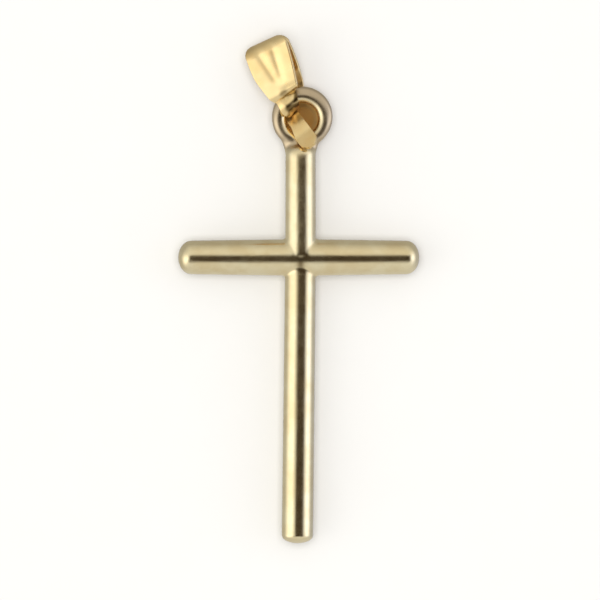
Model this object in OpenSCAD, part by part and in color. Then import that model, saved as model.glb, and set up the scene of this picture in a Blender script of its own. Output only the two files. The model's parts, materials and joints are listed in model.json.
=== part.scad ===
// Cross pendant with a fluted bail, lying on its back.
// X runs along the arms, Y up the stem towards the bail, Z is up.
// The origin is under the middle of the whole pendant, on the surface that it lies on.

/* [Arms] */
// Length of both arms together, tip to tip
arm_span = 17; // [14:0.1:24]
// Diameter of the arms where they meet the stem
arm_mid_d = 2.6; // [2.2:0.02:3.2]
// Diameter of the arms just before their rounded tips
arm_end_d = 2.38; // [2:0.02:3]
// Depth of the rounded tips
arm_dome = 0.92; // [0.5:0.02:1.2]
// How far the arms' middle sits to the left of the stem
arm_offset = 0.13; // [0:0.01:0.3]

/* [Stem] */
// From the arms' centre line down to the foot
foot_drop = 20.14; // [16:0.1:28]
// Diameter of the stem at the arms
stem_d = 2.18; // [1.8:0.02:2.5]
// Diameter of the stem just above the foot
foot_d = 2.22; // [1.8:0.02:2.6]
// Diameter of the stem below the eye ring
shoulder_d = 2.14; // [1.8:0.02:2.5]
// Depth of the foot's rounded end
foot_dome = 0.56; // [0.4:0.02:1.1]
// Depth of the rounded shoulder below the eye ring
shoulder_dome = 0.56; // [0.5:0.02:1]
// How much higher than the arms' line the upper stem starts
upper_lift = 0.3; // [0:0.01:0.4]
// How much higher than the arms' line it ends at its shoulder
shoulder_lift = 0.05; // [0:0.01:0.1]
// Angle by which the lower stem leans to the left
stem_lean = 0.65; // [0:0.05:1.5]
// Radius of the solder fillets in the four corners
fillet_r = 0.3; // [0.15:0.01:0.6]
// Thickness of those fillets, front to back
fillet_t = 0.9; // [0.5:0.05:1.4]

/* [Eye ring] */
// From the arms' centre line up to the eye ring's centre
eye_rise = 9.78; // [8:0.02:14]
// Diameter of the eye ring's hole
eye_hole_d = 2.24; // [2.1:0.02:2.6]
// Diameter of the eye ring's wire
eye_wire_d = 0.98; // [0.8:0.02:1.1]
// How far the eye ring sits to the right of the stem
eye_offset = 0.085; // [0:0.005:0.2]
// Thickness of the solder web between the eye ring and the stem
web_t = 0.8; // [0.5:0.02:0.9]
// How far the web reaches up beside the eye ring
web_rise = 1.1; // [0.8:0.02:1.2]
// How much thicker the eye ring is on the outside of its top
eye_crown = 0.18; // [0.1:0.01:0.22]
// Where the eye ring is thickest, as an angle from the right
crown_turn = 75; // [60:1:90]

/* [Bail] */
// Width of the bail at its top
bail_w = 3.2; // [2.6:0.05:4]
// From the eye ring's wire to the top of the bail
bail_rise = 4.54; // [4:0.02:7]
// Depth of the bail from its fluted front to its back
bail_depth = 2; // [1.9:0.02:2.6]
// Thickness of the bail's sheet
sheet_t = 0.3; // [0.22:0.01:0.36]
// Share of the front leaf's length over which it rises from the hook
leaf_rise_share = 0.08; // [0.06:0.01:0.5]
// Radius of the bail's two top corners
bail_corner_r = 0.65; // [0.3:0.05:0.9]
// Angle of the crease where the front leaf meets the fold
fold_crease = 13; // [0:1:20]
// How much tighter the fold is at its right end
fold_steepen_share = 0.12; // [0:0.02:0.4]
// Angle by which the bail leans to the left
bail_lean = 24; // [16:0.5:28]
// Angle by which the bail rolls down to its left
bail_roll = 20; // [0:1:22]
// How far the front leaf's lower right corner curls down
leaf_curl = 0.04; // [0:0.02:0.3]

/* [Hook] */
// Width of the hook over the eye ring's wire
neck_w = 1.35; // [0.8:0.05:1.5]
// Where the bail grips the eye ring, as an angle from the right
grip_angle = 131; // [125:0.5:138]
// Where the hook ends, as an angle round the wire
neck_turn = 176; // [160:1:185]
// Where the hook passes into the front leaf, as an angle round the wire
neck_from = 66; // [55:1:75]
// How far the hook humps up over the wire's inner side, as a share of its reach
neck_hump_share = 0.33; // [0:0.01:0.4]
// Clearance between the bail and the eye ring's wire
wire_gap = 0.13; // [0.08:0.01:0.2]

/* [Flutes] */
// Depth of the two flutes in the front leaf
flute_depth = 0.044; // [0.02:0.002:0.08]
// Half width of a flute
flute_w = 0.27; // [0.15:0.01:0.35]

/* [Tongue] */
// Width of the tongue where it passes through the eye
tongue_w = 1.04; // [0.8:0.02:1.14]
// Width of the tongue near its tip
tongue_tip_w = 1.28; // [1:0.02:1.34]
// How far the tongue's right edge passes beyond the eye's centre
tongue_side = 0.055; // [0:0.01:0.2]
// Angle between the tongue and the bail's own line
tongue_slant = 12.5; // [8:0.5:18]
// How far the tongue reaches past the middle of the eye ring's foot
tongue_past = 0.5; // [0.2:0.02:0.56]
// How far the tongue's tip springs up over the stem's shoulder
tongue_spring = 0.08; // [0:0.01:0.2]

/* [Hidden] */
GOLD = [0.85, 0.70, 0.42];
PALE_GOLD = [0.95, 0.82, 0.55];
ROUND = 96;
DOME_STEPS = 12;
EPS = 0.01;

// Cross: the arms' centre line crosses the stem's at [0, 0], and every axis lies in the plane at axis_z
arm_r = arm_mid_d / 2;
axis_z = max(arm_r, foot_d / 2);
eye_r = (eye_hole_d + eye_wire_d) / 2;
wire_r = eye_wire_d / 2;
eye_out_r = eye_r + wire_r;
shoulder_lap = 0.09;
shoulder_past = 0.23;
shoulder_foot = 0.52;
web_lap = 0.1;
web_inset = 0.04;
bar_lap = arm_r / 2;
upper_lap = 0.1;
shoulder_y = eye_rise - eye_out_r + shoulder_lap;
web_foot_y = shoulder_y - shoulder_foot - web_lap;
web_top_y = web_foot_y + web_rise;
web_top_w = 2 * sqrt(pow(eye_out_r - web_inset, 2) - pow(eye_rise - web_top_y, 2));
upper_tilt = atan((upper_lift - shoulder_lift) / shoulder_y);
fillet_sink = fillet_t / 3;
crown_thinning = 0.07;
crown_lag = 0.045;
crown_wire = wire_r - crown_thinning;
crown_shift = eye_crown - crown_lag;

// Bail: u runs up the bail from where it grips the wire, v to its right, w towards its front
grip = [eye_offset + eye_r * cos(grip_angle), eye_rise + eye_r * sin(grip_angle)];
wire_slant = grip_angle - 90 - bail_lean;
eye_u = -eye_r * cos(wire_slant);
eye_v = eye_r * sin(wire_slant);
wire_skew = tan(wire_slant);
tongue_skew = tan(tongue_slant);
hook_w = wire_r + wire_gap + sheet_t / 2;
hook_u = hook_w / cos(wire_slant);
roll_v = 0.04 * bail_w;
widest_left = 0.39 * bail_w;
back_w = -(axis_z - sheet_t / 2 - EPS) + tan(bail_roll) * (roll_v + widest_left);
front_w = back_w + bail_depth - sheet_t;
fold_r = (bail_depth - sheet_t) / (1 + cos(fold_crease));
top_u = bail_rise - sheet_t / 2;
fold_u = top_u - fold_r;
strap_past = 0.42;
foot_u = eye_u - eye_r * cos(tongue_slant);
tongue_land = 0.45;
over_u = foot_u + tongue_land;
tip_u = foot_u - tongue_past;
tip_w = shoulder_lift + shoulder_d / 2 + wire_gap + sheet_t / 2 + tongue_spring;
lobe_share = 0.94;
back_end_u = eye_u - lobe_share * eye_r;

// Stages of the strip: hook, front leaf, fold, back leaf, and the tongue's rise through the eye and its tip
HOOK = 0;
LEAF = 1;
FOLD = 2;
BACK = 3;
RISE = 4;
TIP = 5;
END = 6;

// Edge of the tongue on the line that passes the eye's centre
function tongue_right(u) = eye_v + tongue_side - (u - eye_u) * tongue_skew;

// Stage at which the back leaf reaches a place along the bail
function back_stage(u) = BACK + (fold_u - u) / (fold_u - back_end_u);

// Row of the back leaf's lobe behind the eye, with its place and its edges as shares of the eye's radius
function lobe_row(up, left, right) =
    [back_stage(eye_u + up * eye_r), eye_v - left * eye_r, eye_v + right * eye_r, 0];

// Rows along the strip: stage, left edge, right edge, and how far the cut across it slants
AT = 0;
LEFT = 1;
RIGHT = 2;
SKEW = 3;
LEAF_ROWS = [
    [HOOK, -0.1 * neck_w, 0.4 * neck_w, wire_skew],
    [HOOK + 0.5, -0.45 * neck_w, 0.54 * neck_w, wire_skew],
    [LEAF, -0.53 * neck_w, 0.76 * neck_w, wire_skew],
    [LEAF + 0.08, -0.325 * bail_w, 0.36 * bail_w, 0.35 * wire_skew],
    [LEAF + 0.17, -0.358 * bail_w, 0.378 * bail_w, 0.05 * wire_skew],
    [LEAF + 0.25, -0.383 * bail_w, 0.395 * bail_w, 0],
    [LEAF + 0.39, -0.42 * bail_w, 0.43 * bail_w, 0],
    [LEAF + 0.57, -0.452 * bail_w, 0.47 * bail_w, 0],
    [LEAF + 0.79, -0.456 * bail_w, 0.51 * bail_w, 0],
    [FOLD, -0.442 * bail_w, 0.54 * bail_w, 0],
    [FOLD + 0.5, -0.435 * bail_w, 0.57 * bail_w, 0],
    [BACK, -0.42 * bail_w, 0.592 * bail_w, 0],
    [back_stage(0.52 * fold_u), -0.38 * bail_w, 0.562 * bail_w, 0],
    [back_stage(0.25 * fold_u), -0.34 * bail_w, 0.518 * bail_w, 0],
    lobe_row(1.05, 0.79, 0.63),
    lobe_row(0.54, 0.84, 0.84),
    lobe_row(0, 0.9, 0.9),
    lobe_row(-0.52, 0.65, 0.68),
    lobe_row(-lobe_share, 0.25, 0.28)
];

// Row of the tongue, with the share of its width that it has there
function tongue_row(stage, u, share, width) =
    [stage, tongue_right(u) - share * width, tongue_right(u), tongue_skew];
function rise_row(t, share) = tongue_row(RISE + t, mix(-strap_past, over_u, t), share, tongue_w);
TONGUE_ROWS = [
    rise_row(0, 0.62),
    rise_row(0.12, 0.67),
    rise_row(0.24, 0.82),
    rise_row(0.36, 0.97),
    rise_row(0.6, 1),
    tongue_row(TIP, over_u, 1, tongue_tip_w),
    tongue_row(END, tip_u, 1, tongue_tip_w)
];

// Points across the sheet: place from edge to edge, and share of the full thickness there
ACROSS = [
    [-1, 0.4], [-0.93, 1], [-0.72, 1], [-0.52, 1], [-0.38, 1], [-0.25, 1], [-0.12, 1], [0, 1],
    [0.12, 1], [0.25, 1], [0.38, 1], [0.6, 1], [0.93, 1], [1, 0.4]
];

function mix(a, b, t) = a + (b - a) * t;
function clamp(x, low, high) = min(max(x, low), high);
function ease(t) = (1 - cos(180 * clamp(t, 0, 1))) / 2;
function ramp(x, span) = ease((x - span[0]) / (span[1] - span[0]));

// Last row at or before a stage
function row_at(rows, x, i = 0) = i >= len(rows) - 2 || rows[i + 1][AT] > x ? i : row_at(rows, x, i + 1);
function row_slope(rows, i, c) =
    let(a = max(i - 1, 0), b = min(i + 1, len(rows) - 1))
    (rows[b][c] - rows[a][c]) / (rows[b][AT] - rows[a][AT]);

// A column of the rows at any stage, on a smooth curve through them
function column(x, c) =
    let(
        rows = x < RISE ? LEAF_ROWS : TONGUE_ROWS,
        i = row_at(rows, x),
        step = rows[i + 1][AT] - rows[i][AT],
        t = (x - rows[i][AT]) / step,
        p = rows[i][c],
        q = rows[i + 1][c],
        m = row_slope(rows, i, c) * step,
        n = row_slope(rows, i + 1, c) * step
    )
    (2 * pow(t, 3) - 3 * pow(t, 2) + 1) * p + (pow(t, 3) - 2 * pow(t, 2) + t) * m
        + (3 * pow(t, 2) - 2 * pow(t, 3)) * q + (pow(t, 3) - pow(t, 2)) * n;

// Middle of the sheet at a stage and a place across it, as [u, w]
HUMP_TURN = 112;
HUMP_ANGLE_LEFT = 57;
HUMP_ANGLE_RIGHT = 22;
HUMP_NARROWS = [-0.75, -0.2];
function hump(a, across) =
    let(reach = mix(HUMP_ANGLE_LEFT, HUMP_ANGLE_RIGHT, ramp(across, HUMP_NARROWS)))
    1 + neck_hump_share * exp(-pow((a - HUMP_TURN) / reach, 2));
function hook_at(a, across) = hump(a, across) * [hook_u * cos(a), hook_w * sin(a)];
STEEPER = [0.5, 1];
function fold_reach(across) = fold_r * (1 - fold_steepen_share * ramp(across, STEEPER));
function leaf_at(t, across) =
    let(from = hook_at(neck_from, across), end = top_u - fold_reach(across) * (1 - sin(fold_crease)))
    [mix(from[0], end, t), mix(from[1], front_w, ease(t / leaf_rise_share))];
function fold_at(t, across) =
    let(a = mix(fold_crease, 180, t))
    [top_u - fold_reach(across) * (1 - sin(a)), back_w + fold_r * (1 + cos(a))];
DROP = [0.15, 0.45];
function back_at(t, across) =
    [
        mix(fold_u, back_end_u, t) + (fold_r - fold_reach(across)) * pow(1 - t, 3),
        mix(back_w, -hook_w, ramp(t, DROP))
    ];
RISE_POWER = 1.5;
function rise_at(t) = [mix(-strap_past, over_u, t), mix(-hook_w, hook_w, 1 - pow(1 - t, RISE_POWER))];
function tip_at(t) = [mix(over_u, tip_u, t), mix(hook_w, tip_w, t)];
function path(x, across) =
    x < LEAF ? hook_at(mix(neck_turn, neck_from, x), across)
    : x < FOLD ? leaf_at(x - LEAF, across)
    : x < BACK ? fold_at(x - FOLD, across)
    : x < RISE ? back_at(x - BACK, across)
    : x < TIP ? rise_at(x - RISE)
    : tip_at(x - TIP);

// Outward side of the sheet at a stage, as [u, w], from two places close to it on either side
BESIDE = 0.04;
function outward(x, across) =
    let(
        low = x < RISE ? HOOK : RISE,
        high = x < RISE ? RISE - EPS : END,
        d = path(min(x + BESIDE, high), across) - path(max(x - BESIDE, low), across)
    )
    [-d[1], d[0]] / norm(d);

// How far the bail's round top corners pull an edge in
NEAR_FOLD = [1.5, 3.5];
function corner_inset(x, u) =
    let(reach = (top_u - u) * (1 + sheet_t / 2 / fold_r), off = bail_corner_r - max(reach, 0))
    x < NEAR_FOLD[0] || x > NEAR_FOLD[1] || off <= 0
        ? 0
        : bail_corner_r - sqrt(pow(bail_corner_r, 2) - pow(off, 2));

// How far the roll lifts a point of the sheet
// The hook rolls on its left side alone, by more than the leaves, and the back leaf is level behind the wire
HOOK_ROLL = 1.3;
HOOK_ROLL_V = -0.15;
ROLL_IN = [0.2, 0.6];
ROLL_OUT = [3.42, 3.24];
LEAF_ROLL = [1, 1.09];
function rolled(x, v) =
    let(at_hook = HOOK_ROLL * min(v - HOOK_ROLL_V, 0), share = min(ramp(x, ROLL_IN), ramp(x, ROLL_OUT)))
    tan(bail_roll) * share * mix(at_hook, v - roll_v, ramp(x, LEAF_ROLL));

// How far the front leaf's lower right corner curls down
CURL_IN = [0.05, 0.35];
CURL_OUT = [0.95, 0.45];
CURL_ACROSS = [-0.2, 0.5];
function curled(x, v) =
    let(u = (x - LEAF) * fold_u)
    x < FOLD ? leaf_curl * min(ramp(u, CURL_IN), ramp(u, CURL_OUT)) * ramp(v, CURL_ACROSS) : 0;

// How much a round end narrows the strip, from a place along its last stage down to its blunt end
TIP_ROUND = 0.45;
TIP_BLUNT = 0.32;
LOBE_ROUND = 0.9;
LOBE_BLUNT = 0.5;
function round_end(t, start, blunt) =
    sqrt(1 - (1 - pow(blunt, 2)) * pow(max(t - start, 0) / (1 - start), 2));
function end_share(x) =
    x > TIP ? round_end(x - TIP, TIP_ROUND, TIP_BLUNT)
    : x > BACK && x < RISE ? round_end(x - BACK, LOBE_ROUND, LOBE_BLUNT)
    : 1;

// Depth of the two flutes, which start just below the fold and run together towards the neck
// Each flute's middle, as shares of the bail's width: where they meet, and at the fold
FLUTE_LEFT = [0, -0.13];
FLUTE_RIGHT = [0.1, 0.2];
FLUTE_FADE = 0.2;
FLUTE_FROM = 0.24;
FLUTE_TO = 1.3;
FLUTE_END_FADE = 0.25;
function groove(v, at) = exp(-pow((v - at) / flute_w, 2));
function flute(x, v) =
    let(
        t = x - LEAF,
        share = min((t - FLUTE_FROM) / FLUTE_FADE, (FLUTE_TO - t) / FLUTE_END_FADE),
        up = clamp((t - FLUTE_FROM) / (1 - FLUTE_FROM), 0, 1),
        left = mix(FLUTE_LEFT[0], FLUTE_LEFT[1], up) * bail_w,
        right = mix(FLUTE_RIGHT[0], FLUTE_RIGHT[1], up) * bail_w
    )
    flute_depth * ease(share) * (groove(v, left) + groove(v, right));

// One point of the sheet, as [v, u, w], on its outer side (1) or its inner side (-1)
PLAIN_LEAF = 1.4;
function sheet_point(x, across, side) =
    let(
        left = column(x, LEFT) + corner_inset(x, path(x, -1)[0]),
        right = column(x, RIGHT) - corner_inset(x, path(x, 1)[0]),
        middle = (left + right) / 2,
        v = middle + (right - left) / 2 * across[0] * end_share(x),
        skew = column(x, SKEW) * (v - (x < PLAIN_LEAF ? 0 : middle)),
        lift = side * across[1] * sheet_t / 2 - flute(x, v),
        p = path(x, across[0]) + lift * outward(x, across[0])
    )
    [v, p[0] + skew, p[1] + rolled(x, v) - curled(x, v)];

// Stages of the two strips: the leaves from the hook to the lobe, and the tongue
HOOK_STAGES = [for (k = [0:11]) k / 12];
LEAF_STAGES = [
    0, 0.02, 0.04, 0.06, 0.08, 0.1, 0.12, 0.14, 0.17, 0.2, 0.25, 0.32, 0.4, 0.5, 0.6, 0.7, 0.8, 0.9
];
FOLD_STAGES = [for (k = [0:13]) k / 14];
BACK_STAGES = [for (k = [0:17]) k / 20, 0.88, 0.91, 0.93, 0.95, 0.97, 0.985, 1 - EPS / 2];
RISE_STAGES = [for (k = [0:9]) k / 10];
TIP_STAGES = [0, 0.2, 0.4, 0.52, 0.64, 0.75, 0.84, 0.92, 1 - EPS / 2];
LEAVES = [
    for (t = HOOK_STAGES) HOOK + t,
    for (t = LEAF_STAGES) LEAF + t,
    for (t = FOLD_STAGES) FOLD + t,
    for (t = BACK_STAGES) BACK + t
];
TONGUE = [for (t = RISE_STAGES) RISE + t, for (t = TIP_STAGES) TIP + t];
LAST = len(ACROSS) - 1;
RING = 2 * len(ACROSS);
function sheet_points(stages) = [
    for (x = stages) each [
        for (k = [0:LAST]) sheet_point(x, ACROSS[k], 1),
        for (k = [0:LAST]) sheet_point(x, ACROSS[LAST - k], -1)
    ]
];
LEAVES_POINTS = sheet_points(LEAVES);

// The pendant's middle, from the arms' tips and from the foot to the top of the leaning bail
bail_top = max([for (p = LEAVES_POINTS) grip[1] + p[1] * cos(bail_lean) + p[0] * sin(bail_lean)]);
foot_y = -foot_drop * cos(stem_lean);
centre = [-arm_offset, (bail_top + foot_y) / 2];

// Outline of a round bar from its start along its length, with domed ends
function dome(r, depth, at, dir) = [
    for (i = [0:DOME_STEPS])
        let(a = dir > 0 ? 90 * i / DOME_STEPS : 90 - 90 * i / DOME_STEPS)
        [max(r * cos(a), 0), at + dir * depth * sin(a)]
];

module bar(outline) {
    rotate_extrude($fn = ROUND) polygon(outline);
}

module arms() {
    end = arm_span / 2;
    flat = end - arm_dome;
    translate([-arm_offset, 0, 0]) rotate([0, 90, 0]) bar(concat(
        dome(arm_end_d / 2, arm_dome, -flat, -1),
        [[arm_r, 0]],
        dome(arm_end_d / 2, arm_dome, flat, 1)
    ));
}

module lower_stem() {
    rotate([0, 0, -stem_lean]) rotate([90, 0, 0]) bar(concat(
        [[0, -bar_lap], [stem_d / 2, -bar_lap], [stem_d / 2, 0]],
        dome(foot_d / 2, foot_dome, foot_drop - foot_dome, 1)
    ));
}

module upper_stem() {
    translate([0, 0, upper_lift]) rotate([-90 - upper_tilt, 0, 0]) bar(concat(
        [[0, upper_lap], [stem_d / 2, upper_lap]],
        dome(shoulder_d / 2, shoulder_dome, shoulder_y - shoulder_dome + shoulder_past, 1)
    ));
}

module hoop(r, wire) {
    rotate_extrude($fn = ROUND) translate([r, 0]) circle(r = wire, $fn = ROUND);
}

module eye_ring() {
    translate([eye_offset, eye_rise, 0]) {
        hoop(eye_r, wire_r);
        rotate([0, 0, crown_turn]) translate([crown_shift, 0, 0])
            hoop(eye_out_r + eye_crown - crown_shift - crown_wire, crown_wire);
    }
}

module eye_web() {
    foot = shoulder_d / 2 - 2 * EPS;
    top = web_top_w / 2;
    translate([0, 0, -web_t / 2]) linear_extrude(web_t) polygon([
        [-foot, web_foot_y],
        [foot, web_foot_y],
        [eye_offset + top, web_top_y],
        [eye_offset - top, web_top_y]
    ]);
}

// Each fillet is sunk into both bars, so that it meets them over its whole thickness
module corner_fillets() {
    side = fillet_sink + fillet_r;
    for (sx = [0, 1]) for (sy = [0, 1]) mirror([sx, 0, 0]) mirror([0, sy, 0])
        translate([stem_d / 2 - fillet_sink, arm_r - fillet_sink, -fillet_t / 2])
            linear_extrude(fillet_t) difference() {
                square(side);
                translate([side, side]) circle(r = fillet_r, $fn = ROUND);
            }
}

module cross() {
    color(GOLD) translate([-centre[0], -centre[1], axis_z]) {
        union() {
            arms();
            lower_stem();
            upper_stem();
            eye_ring();
            eye_web();
            corner_fillets();
        }
    }
}

module strip(points) {
    rings = len(points) / RING;
    sides = [
        for (i = [0:rings - 2]) for (k = [0:RING - 1])
            let(a = i * RING + k, b = i * RING + (k + 1) % RING)
            [a, a + RING, b + RING, b]
    ];
    ends = [[for (k = [0:RING - 1]) k], [for (k = [RING - 1:-1:0]) (rings - 1) * RING + k]];
    polyhedron(points = points, faces = concat(sides, ends), convexity = 6);
}

module bail() {
    at = grip - centre;
    color(PALE_GOLD) translate([at[0], at[1], axis_z]) rotate([0, 0, bail_lean]) {
        union() {
            strip(LEAVES_POINTS);
            strip(sheet_points(TONGUE));
        }
    }
}

cross();
bail();
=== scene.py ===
"""A gold cross pendant with a fluted, folded bail, lying on its back on a pale floor.

X runs along the arms, Y up the stem towards the bail, and Z up from the floor, in metres.
A piece is shaped at the bench size of one unit to a millimetre, and is then brought to metres.
"""

import sys
import json
import logging
import math
from dataclasses import dataclass, field
from enum import Enum, IntEnum
from typing import Callable, Sequence

import bpy
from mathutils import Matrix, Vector

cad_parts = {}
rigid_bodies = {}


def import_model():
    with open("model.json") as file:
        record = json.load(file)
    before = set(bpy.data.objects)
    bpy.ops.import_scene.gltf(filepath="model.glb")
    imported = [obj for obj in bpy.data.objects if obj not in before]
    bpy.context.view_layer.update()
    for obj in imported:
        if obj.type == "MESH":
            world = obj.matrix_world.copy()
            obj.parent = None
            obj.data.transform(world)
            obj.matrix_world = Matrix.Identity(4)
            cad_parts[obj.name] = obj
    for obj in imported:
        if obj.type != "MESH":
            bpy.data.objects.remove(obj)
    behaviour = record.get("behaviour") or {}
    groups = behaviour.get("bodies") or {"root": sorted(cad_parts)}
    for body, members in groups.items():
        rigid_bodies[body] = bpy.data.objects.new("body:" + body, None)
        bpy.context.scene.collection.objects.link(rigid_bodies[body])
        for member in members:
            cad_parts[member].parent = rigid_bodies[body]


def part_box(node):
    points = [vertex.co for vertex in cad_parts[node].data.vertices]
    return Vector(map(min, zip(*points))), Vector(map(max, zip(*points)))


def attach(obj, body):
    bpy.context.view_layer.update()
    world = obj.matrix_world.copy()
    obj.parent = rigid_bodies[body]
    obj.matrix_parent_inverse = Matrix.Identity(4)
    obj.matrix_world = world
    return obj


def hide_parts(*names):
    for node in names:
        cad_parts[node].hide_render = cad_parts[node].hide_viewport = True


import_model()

log = logging.getLogger("pendant")

MM = 0.001
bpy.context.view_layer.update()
CROSS_LOW, CROSS_HIGH = (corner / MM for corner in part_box("cross"))
FACING = 0.9  # share of a face's normal from which it counts as facing an axis
POINT_R = 0.004  # radius of the last ring of a closed end, in millimetres
PAST_EDGE = 2.0  # how fast a bar's skin is taken to fall past its edge
LEAST = 0.001  # weight below which a point is left out of a group

Colour = tuple[float, float, float]
Profile = Sequence[tuple[float, float]]


class BrushMark(Enum):
    """Direction of the fine polishing marks on a piece."""

    ALONG_STEM = (1.0, 0.06, 1.0)
    ALONG_BAIL = (1.0, 0.12, 1.0)


def mix(a: float, b: float, t: float) -> float:
    """Value a share t of the way from a to b."""
    return a + (b - a) * t


def soft(t: float) -> float:
    """Share that sets in and ends gently while t goes from 0 to 1, and stays put past them."""
    return (1 - math.cos(math.pi * min(max(t, 0.0), 1.0))) / 2


@dataclass(frozen=True)
class Fade:
    """A gentle change from 0 to 1: where it starts and its length, which is negative where it runs back."""

    start: float
    length: float

    def at(self, value: float) -> float:
        """Share reached at a value."""
        return soft((value - self.start) / self.length)


@dataclass(frozen=True)
class Window:
    """A stretch that counts: where it sets in, over how long, where it ends and over how long it fades."""

    start: float
    rise: float
    end: float
    fall: float

    def at(self, value: float) -> float:
        """How much the stretch counts at a value, from 0 to 1."""
        return soft(min((value - self.start) / self.rise, (self.end - value) / self.fall))


@dataclass(frozen=True)
class Band:
    """A soft band: its middle, its reach to either side, and how many reaches out it ends."""

    middle: float
    reach: float
    edge: float

    def at(self, value: float) -> float:
        """How much the band counts at a value, from 0 to 1."""
        return soft(self.edge - abs(value - self.middle) / self.reach)


@dataclass(frozen=True)
class Patch:
    """A soft oval place: its middle, its reach each way, how many reaches out it ends, and its strength."""

    middle: tuple[float, float]
    reach: tuple[float, float]
    edge: float
    strength: float = 1.0

    def at(self, x: float, y: float) -> float:
        """Strength of the patch at a place."""
        off = ((value - mid) / reach for value, mid, reach in zip((x, y), self.middle, self.reach))
        return self.strength * soft(self.edge - math.hypot(*off))


def deselect() -> None:
    """Leave nothing selected, so that an operator acts on its own piece alone."""
    if bpy.context.object is not None and bpy.context.object.mode != "OBJECT":
        bpy.ops.object.mode_set(mode="OBJECT")
    for obj in bpy.context.view_layer.objects:
        obj.select_set(False)


def pick(obj: bpy.types.Object) -> bpy.types.Object:
    """Make one piece the only selected and active one.

    Args:
        obj: The piece.

    Returns:
        The same piece.
    """
    deselect()
    obj.select_set(True)
    bpy.context.view_layer.objects.active = obj
    return obj


def added(name: str) -> bpy.types.Object:
    """Name the piece that was just added or joined.

    Args:
        name: Its name.

    Returns:
        The piece.
    """
    obj = bpy.context.object
    obj.name = obj.data.name = name
    return obj


def select_faces(obj: bpy.types.Object, wanted: Callable[[bpy.types.MeshPolygon], bool]) -> None:
    """Select the faces of a mesh that fit, and nothing else, and stay in edit mode.

    Args:
        obj: The piece, which is the active one.
        wanted: Says of a face whether it is selected.
    """
    bpy.ops.object.mode_set(mode="EDIT")
    bpy.ops.mesh.select_mode(type="FACE")
    bpy.ops.mesh.select_all(action="DESELECT")
    bpy.ops.object.mode_set(mode="OBJECT")
    for face in obj.data.polygons:
        face.select = wanted(face)
    bpy.ops.object.mode_set(mode="EDIT")


def turned_bar(name: str, profile: Profile, sides: int = 96) -> bpy.types.Object:
    """Turn a round bar about Z: a cylinder whose end is drawn on through a profile.

    Args:
        name: Name of the piece.
        profile: Places along the bar and the radius at each, from its start to its end.
        sides: Faces round the bar.

    Returns:
        The bar, along Z from the profile's first place to its last.
    """
    (start, start_r), (end, end_r) = profile[0], profile[1]
    deselect()
    bpy.ops.mesh.primitive_cylinder_add(
        vertices=sides, radius=start_r, depth=end - start, location=(0, 0, (start + end) / 2)
    )
    bar = added(name)
    bpy.ops.object.transform_apply(location=True, rotation=True, scale=True)
    select_faces(bar, lambda face: face.normal.z > FACING)
    bpy.ops.transform.resize(value=(end_r / start_r, end_r / start_r, 1), center_override=(0, 0, end))
    radius = end_r
    for place, next_r in profile[2:]:
        bpy.ops.mesh.extrude_region_move(TRANSFORM_OT_translate={"value": (0, 0, place - end)})
        next_r = max(next_r, POINT_R)
        share = next_r / radius
        bpy.ops.transform.resize(value=(share, share, 1), center_override=(0, 0, place))
        end, radius = place, next_r
    bpy.ops.object.mode_set(mode="OBJECT")
    return bar


def domed(end: float, radius: float, depth: float, steps: int = 12) -> list[tuple[float, float]]:
    """Profile of a rounded end.

    Args:
        end: Place of the end's tip along the bar.
        radius: Radius of the bar where the rounding starts.
        depth: Length of the rounding.
        steps: Rings in the rounding.

    Returns:
        The places and radii from the start of the rounding to its tip.
    """
    turns = [math.pi / 2 * i / steps for i in range(steps + 1)]
    return [(end - depth + depth * math.sin(a), radius * math.cos(a)) for a in turns]


def set_down(obj: bpy.types.Object, turn: Vector | tuple, place: Vector | tuple) -> bpy.types.Object:
    """Turn a piece and put it in its place, and keep both in its mesh.

    Args:
        obj: The piece.
        turn: Angles about X, Y and Z in radians.
        place: Where its origin comes to lie.

    Returns:
        The piece, whose object is at the origin and unturned.
    """
    pick(obj)
    obj.rotation_euler = turn
    obj.location = place
    bpy.ops.object.transform_apply(location=True, rotation=True, scale=True)
    return obj


def worked(obj: bpy.types.Object, kind: str, **settings: object) -> None:
    """Add a modifier to a piece, set it and apply it.

    Args:
        obj: The piece.
        kind: The modifier's type.
        **settings: The modifier's own values.
    """
    pick(obj)
    bpy.ops.object.modifier_add(type=kind)
    modifier = obj.modifiers[-1]
    for key, value in settings.items():
        setattr(modifier, key, value)
    bpy.ops.object.modifier_apply(modifier=modifier.name)


def bar_height(radius: float, off: float) -> float:
    """Height of a round bar's skin over its middle, some way off its line, falling on past its edge."""
    return math.sqrt(max(radius**2 - off**2, 0)) - PAST_EDGE * max(off - radius, 0)


def joined(name: str, parts: Sequence[bpy.types.Object]) -> bpy.types.Object:
    """Join parts into one piece.

    Args:
        name: Name of the joined piece.
        parts: The parts.

    Returns:
        The joined piece.
    """
    deselect()
    for part in parts:
        part.select_set(True)
    bpy.context.view_layer.objects.active = parts[0]
    bpy.ops.object.join()
    return added(name)


def weigh(obj: bpy.types.Object, group: str, weight: Callable[[Vector], float]) -> str:
    """Give the points of a piece a weight by their place.

    Args:
        obj: The piece.
        group: Name of the vertex group.
        weight: Weight of a point, from 0 to 1.

    Returns:
        The group's name.
    """
    made = obj.vertex_groups.new(name=group)
    for point in obj.data.vertices:
        share = weight(point.co)
        if share > LEAST:
            made.add([point.index], share, "REPLACE")
    return group


def mark(obj: bpy.types.Object, name: str, level: Callable[[Vector], float]) -> None:
    """Write a share on the points of a piece by their place, for its finish to read.

    Args:
        obj: The piece.
        name: Name of the attribute.
        level: Share at a place, from 0 to 1.
    """
    shares = obj.data.attributes.new(name, "FLOAT", "POINT").data
    for point, share in zip(obj.data.vertices, shares):
        share.value = level(point.co)


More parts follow.
